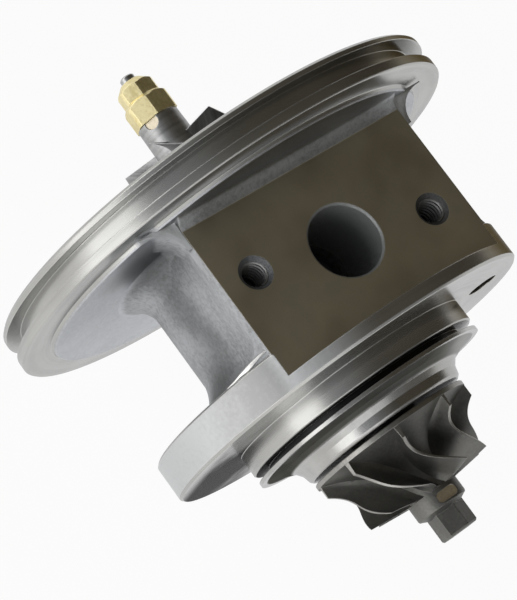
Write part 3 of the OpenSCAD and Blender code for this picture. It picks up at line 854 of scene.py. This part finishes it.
def turbineTip(x):
    run, growth, power = turbine["flare"]
    left = max(0.0, 1 - (x - turbine["tip"]) / run)
    return min(turbine["rimRadius"] - turbine["inset"], turbine["outRadius"] + growth * left**power)


def turbineCamber(t, u):
    inset = turbine["inset"]
    sink, soon = turbine["rootSink"]
    rootX = turbine["rim"] - inset + (turbine["hubEnd"] - turbine["rim"]) * t
    tipX = turbine["tip"] + (turbine["out"] - turbine["tip"]) * t
    rootR = min(turbineHub(rootX), turbine["rimRadius"] - inset) - sink * min(1, soon * t)
    x = (rootX - turbine["rootLean"] * (1 - t)) * (1 - u) + tipX * u
    start, run, swept = turbine["sweep"]
    angle = 0 if x < start else swept * ((x - start) / run) ** 2
    return x, rootR * (1 - u) + turbineTip(tipX) * u, angle


def turbineHalf(t, u, x, r):
    body = turbine["tipHalf"] + (turbine["rootHalf"] - turbine["tipHalf"]) * (1 - u) ** turbine["rootPower"]
    start, lost = turbine["thinning"]
    thinned = 1 - lost * max(0.0, t - start) / (1 - start)
    fillet, reach, soon = turbine["fillet"]
    clear = max(0.0, r - turbineHub(x))
    return body * thinned + fillet * math.exp(-clear / reach) * min(1, soon * t)


def turbineLook(x, radius, normal):  # 0 cast skin, 1 ground, 2 balance mark
    mark = turbine["balance"]
    reach, sunk = turbine["markReach"]
    onRim = x < turbine["tip"] and radius > turbine["rimRadius"] - turbine["groundRim"]
    onTip = turbine["tip"] <= x <= turbine["out"] and abs(radius - turbineTip(x)) < turbine["groundTip"]
    if onRim or onTip:
        return 1
    onMark = abs(x - mark["station"]) < reach and radius < turbine["hubRadius"] - sunk
    return 2 if onMark and facesOut(normal, mark["direction"]) else 0


def makeTurbine(look):
    hub, rim, back, ring = (look[name] for name in ("hubRadius", "rimRadius", "back", "ring"))
    bossStart, bossStep, boss = look["boss"]
    noseEnd, noseRadius = look["nose"]
    hubLength, hubRows = look["hubEnd"] - look["rim"], look["hubRows"]
    hubCurve = [look["rim"] + hubLength * i / hubRows for i in range(hubRows + 1)]
    profile = [(bossStart, look["bore"]), (bossStart, boss), (bossStep, boss), (back, boss)]
    profile += [(back, rim - look["rimChamfer"]), (back + look["rimChamfer"], rim)]
    profile += [(x, turbineHub(x)) for x in hubCurve]
    profile += [(ring - setback, hub - drop) for setback, drop in look["ringEdge"]]
    profile += [(noseEnd, noseRadius), (noseEnd, look["bore"])]
    wheel = turnedRing("turbine_wheel_cast", profile, look["steps"])
    flats = look["hexagon"]
    corners = [(flats["corner"], flats["turn"] + 60 * i) for i in range(6)]
    hexagon = prism("noseHexagon", corners, ring - flats["sink"], flats["end"], flats["chamfer"])
    carve(wheel, hexagon, "UNION")
    carve(wheel, markCutter("balanceGrinder", hub, look["balance"]), "DIFFERENCE")
    blades = bladeSet(
        "turbineBlades", look["blades"], look["first"], turbineCamber, turbineHalf, look["rows"], look["cols"]
    )
    carve(wheel, blades, "UNION")
    smoothBelow(wheel, look["smooth"])
    dress(wheel, ("nickel_alloy", "ground_alloy", "ground_spot"), turbineLook)
    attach(wheel, "rotor")
    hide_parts("turbine_wheel")
    return wheel


# compressor wheel: aluminium, long blades and splitters
compressor = {
    "blades": 5,
    "first": 24.0,
    "longRows": 26, "shortRows": 20, "cols": 8,  # steps along long and short blades and out from the root
    "hubRows": 40, "steps": 144,  # steps along the hub and around it
    "smooth": 38,  # degrees
    "back": -47.0,
    "inlet": -58.8,
    "nose": -64.5,
    "noseRadius": 4.7,
    "noseTaper": 0.1,
    "inRadius": 12.0,
    "outRadius": 18.0,
    "backFace": ((0.0, 7.0), (0.5, 10.0)),  # setback and radius
    "backEdge": 1.2,  # setback of the outer edge
    "hubRun": 10.2, "tipStart": -0.1, "tipRun": 7.9,
    "rootSink": 1.1,
    "wrap": (36.0, 24.0),  # degrees, early and late in the flow path
    "bore": 2.52,
    "splitter": 0.36,  # share of the flow path before the short blades
    "tipHalf": 0.2, "rootGrowth": (0.3, 1.3), "fillet": (0.5, 0.22),  # half thickness
    "balance": {"station": -63.9, "direction": -45.0, "depth": 0.55, "radius": 1.5, "run": 0.0},
}


def compressorHub(t):
    turn = math.radians(90 * t)
    grown = (compressor["outRadius"] - compressor["noseRadius"]) * (1 - math.cos(turn))
    return compressor["inlet"] + compressor["hubRun"] * math.sin(turn), compressor["noseRadius"] + grown


def compressorCamber(t, u):
    turn = math.radians(90 * t)
    hubX, hubR = compressorHub(t)
    sink = compressor["rootSink"]
    rootX, rootR = hubX + sink * math.sin(turn), hubR - sink * math.cos(turn)
    tipX = compressor["inlet"] + compressor["tipStart"] + compressor["tipRun"] * math.sin(turn)
    tipR = compressor["inRadius"] + (compressor["outRadius"] - compressor["inRadius"]) * (1 - math.cos(turn))
    early, late = compressor["wrap"]
    wrap = early * (1 - (1 - t) ** 2) + late * t * t
    return rootX * (1 - u) + tipX * u, rootR * (1 - u) + tipR * u, wrap


def splitterCamber(t, u):
    return compressorCamber(compressor["splitter"] + (1 - compressor["splitter"]) * t, u)


def compressorHalf(t, u, x, r):
    growth, power = compressor["rootGrowth"]
    fillet, reach = compressor["fillet"]
    return compressor["tipHalf"] + growth * (1 - u) ** power + fillet * max(0.0, 1 - u / reach) ** 2


def compressorLook(x, radius, normal):  # 0 milled skin, 1 balance mark
    mark = compressor["balance"]
    return int(abs(x - mark["station"]) < mark["radius"] and facesOut(normal, mark["direction"]))


def makeCompressor(look):
    back, nose, bore, hubRows = (look[name] for name in ("back", "nose", "bore", "hubRows"))
    profile = [(back, bore)] + [(back - setback, radius) for setback, radius in look["backFace"]]
    profile += [(back - look["backEdge"], look["outRadius"])]
    profile += [compressorHub(i / hubRows) for i in range(hubRows, -1, -1)]
    profile += [(nose, look["noseRadius"] - look["noseTaper"]), (nose, bore)]
    wheel = turnedRing("compressor_wheel_milled", profile, look["steps"])
    carve(wheel, markCutter("balanceDrill", look["noseRadius"], look["balance"]), "DIFFERENCE")
    first, between = look["first"], look["first"] + 180 / look["blades"]
    for name, start, camber, rows in (
        ("longBlades", first, compressorCamber, look["longRows"]),
        ("shortBlades", between, splitterCamber, look["shortRows"]),
    ):
        blades = bladeSet(name, look["blades"], start, camber, compressorHalf, rows, look["cols"])
        carve(wheel, blades, "UNION")
    smoothBelow(wheel, look["smooth"])
    dress(wheel, ("milled_aluminium", "ground_spot"), compressorLook)
    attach(wheel, "rotor")
    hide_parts("compressor_wheel")
    return wheel


for wheelPiece in (makeTurbine(turbine), makeCompressor(compressor)):
    print("wheel:", wheelPiece.name, len(wheelPiece.data.polygons), "faces")

# thread ridges in the tapped holes
threads = {
    "holes": ((-21.83, -19.25), (-14.97, 19.25)),
    "top": 29.35,
    "radius": 2.5,
    "depth": 0.27,
    "half": 0.36,  # half the width of a ridge
    "root": 0.05,  # how far it reaches into the wall
    "pitch": 1.0,
    "turns": 6.4,
    "steps": 40,  # per turn
    "smooth": 30,  # degrees
}


def cutThreads(look):
    points, faces = [], []
    total = int(look["turns"] * look["steps"])
    section = ((look["root"], -look["half"]), (-look["depth"], 0.0), (look["root"], look["half"]))
    for holeX, holeY in look["holes"]:
        base = len(points)
        for i in range(total + 1):
            turn = math.tau * i / look["steps"]
            deep = look["top"] - look["pitch"] * i / look["steps"]
            for reach, lift in section:
                radius = look["radius"] + reach
                points.append((holeX + radius * math.cos(turn), holeY + radius * math.sin(turn), deep + lift))
        for face in skinBetween(total + 1, 3) + endCaps(total + 1, 3):
            faces.append(tuple(base + corner for corner in face))
    ridges = solidObject("drain_hole_threads", points, faces)
    smoothBelow(ridges, look["smooth"])
    ridges.data.materials.append(finishes["thread_iron"])
    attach(ridges, "housing")


cutThreads(threads)
print("threads cut in", len(threads["holes"]), "holes")

# thin flash left on the flange's back edge beside the drain pad, its near-white colour a painted highlight
flash = {
    "path": (  # direction, station, radius, thickness
        (-41.2, -8.9, 39.45, 0.10), (-42.3, -8.95, 39.6, 0.16), (-44.0, -8.9, 39.6, 0.24),
        (-46.0, -8.7, 39.65, 0.34), (-47.5, -8.55, 39.7, 0.44), (-49.0, -8.4, 39.72, 0.46),
        (-50.5, -8.35, 39.7, 0.36), (-52.0, -8.3, 39.68, 0.24), (-54.0, -8.1, 39.65, 0.16),
        (-57.0, -8.0, 39.6, 0.08),
    ),
    "sides": 10,
    "flatness": 0.6,  # its height as a share of its thickness
    "smooth": 60,  # degrees
}


def makeFlash(look):
    sides, rows = look["sides"], len(look["path"])
    points = []
    for direction, station, radius, thick in look["path"]:
        for i in range(sides):
            turn = math.tau * i / sides
            lift = look["flatness"] * thick * math.sin(turn)
            points.append(onShaft(station + thick * math.cos(turn), radius + lift, direction))
    ridge = solidObject("flange_edge_flash", points, skinBetween(rows, sides) + endCaps(rows, sides))
    smoothBelow(ridge, look["smooth"])
    ridge.data.materials.append(finishes["flash_highlight"])
    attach(ridge, "housing")


makeFlash(flash)
print("flash laid along", len(flash["path"]), "points")

# floor and light
floorLook = {
    "height": -50.4,  # mm
    "half": 12.0,  # m
    "colour": (0.86, 0.86, 0.86),
    "glow": 0.95,  # share of plain white seen by the camera and in reflections
}


def layFloor(look):
    mesh = bpy.data.meshes.new("floor")
    half, z = look["half"], look["height"] * mm
    corners = [(-half, -half, z), (half, -half, z), (half, half, z), (-half, half, z)]
    mesh.from_pydata(corners, [], [(0, 1, 2, 3)])
    floor = bpy.data.objects.new("floor", mesh)
    scene.collection.objects.link(floor)
    material = bpy.data.materials.new("paleFloor")
    material.use_nodes = True
    tree = material.node_tree
    tree.nodes.clear()
    matt = put(tree, "BsdfDiffuse", {"Color": (*look["colour"], 1)})
    white = put(tree, "Emission", {"Color": (1, 1, 1, 1), "Strength": 1.0})
    ray = put(tree, "LightPath").outputs
    seen = calc(tree, "ADD", ray["Is Camera Ray"], ray["Is Glossy Ray"], True)
    seen = calc(tree, "ADD", seen, ray["Is Transmission Ray"], True)
    share = calc(tree, "MULTIPLY", seen, look["glow"])
    mix = put(tree, "MixShader", {0: share, 1: matt.outputs[0], 2: white.outputs[0]})
    put(tree, "OutputMaterial", {"Surface": mix.outputs[0]})
    mesh.materials.append(material)


layFloor(floorLook)

lights = {  # m and W
    "keyPanel": {"place": (0.05, -0.9, 0.1), "aim": (0, 0, 0), "size": (1.6, 0.8), "power": 6.5},
    "sidePanel": {"place": (0.75, -0.35, 0.1), "aim": (0, 0, 0), "size": (0.9, 0.9), "power": 1.8},
    "backPanel": {"place": (-0.8, -0.4, 0.1), "aim": (-0.05, 0, 0), "size": (0.6, 0.6), "power": 2.0},
}


def hangLights(looks):
    for name, look in looks.items():
        lamp = bpy.data.lights.new(name, "AREA")
        lamp.shape = "RECTANGLE"
        lamp.size, lamp.size_y = look["size"]
        lamp.energy = look["power"]
        holder = bpy.data.objects.new(name, lamp)
        scene.collection.objects.link(holder)
        holder.location = look["place"]
        aim = Vector(look["aim"]) - Vector(look["place"])
        holder.rotation_euler = aim.to_track_quat("-Z", "Y").to_euler()


hangLights(lights)

worldLook = {
    "bright": (0.40, 0.415, 0.43),
    "dim": (0.105, 0.093, 0.071),
    "dimFrom": (-0.05, 0.62, 0.72),  # direction of the dim side of the room
    "dimEdge": (0.1, 0.75),
    "strength": 0.75,
}


def paintWorld(look):
    world = bpy.data.worlds.new("room")
    scene.world = world
    world.use_nodes = True
    tree = world.node_tree
    tree.nodes.clear()
    direction = put(tree, "TexCoord").outputs["Generated"]
    near = dot(tree, direction, tuple(Vector(look["dimFrom"]).normalized()))
    colour = mixColour(tree, rise(tree, near, *look["dimEdge"]), look["bright"], look["dim"])
    room = put(tree, "Background", {"Color": colour, "Strength": look["strength"]})
    put(tree, "OutputWorld", {"Surface": room.outputs[0]})


paintWorld(worldLook)
print("floor, lights and room set")
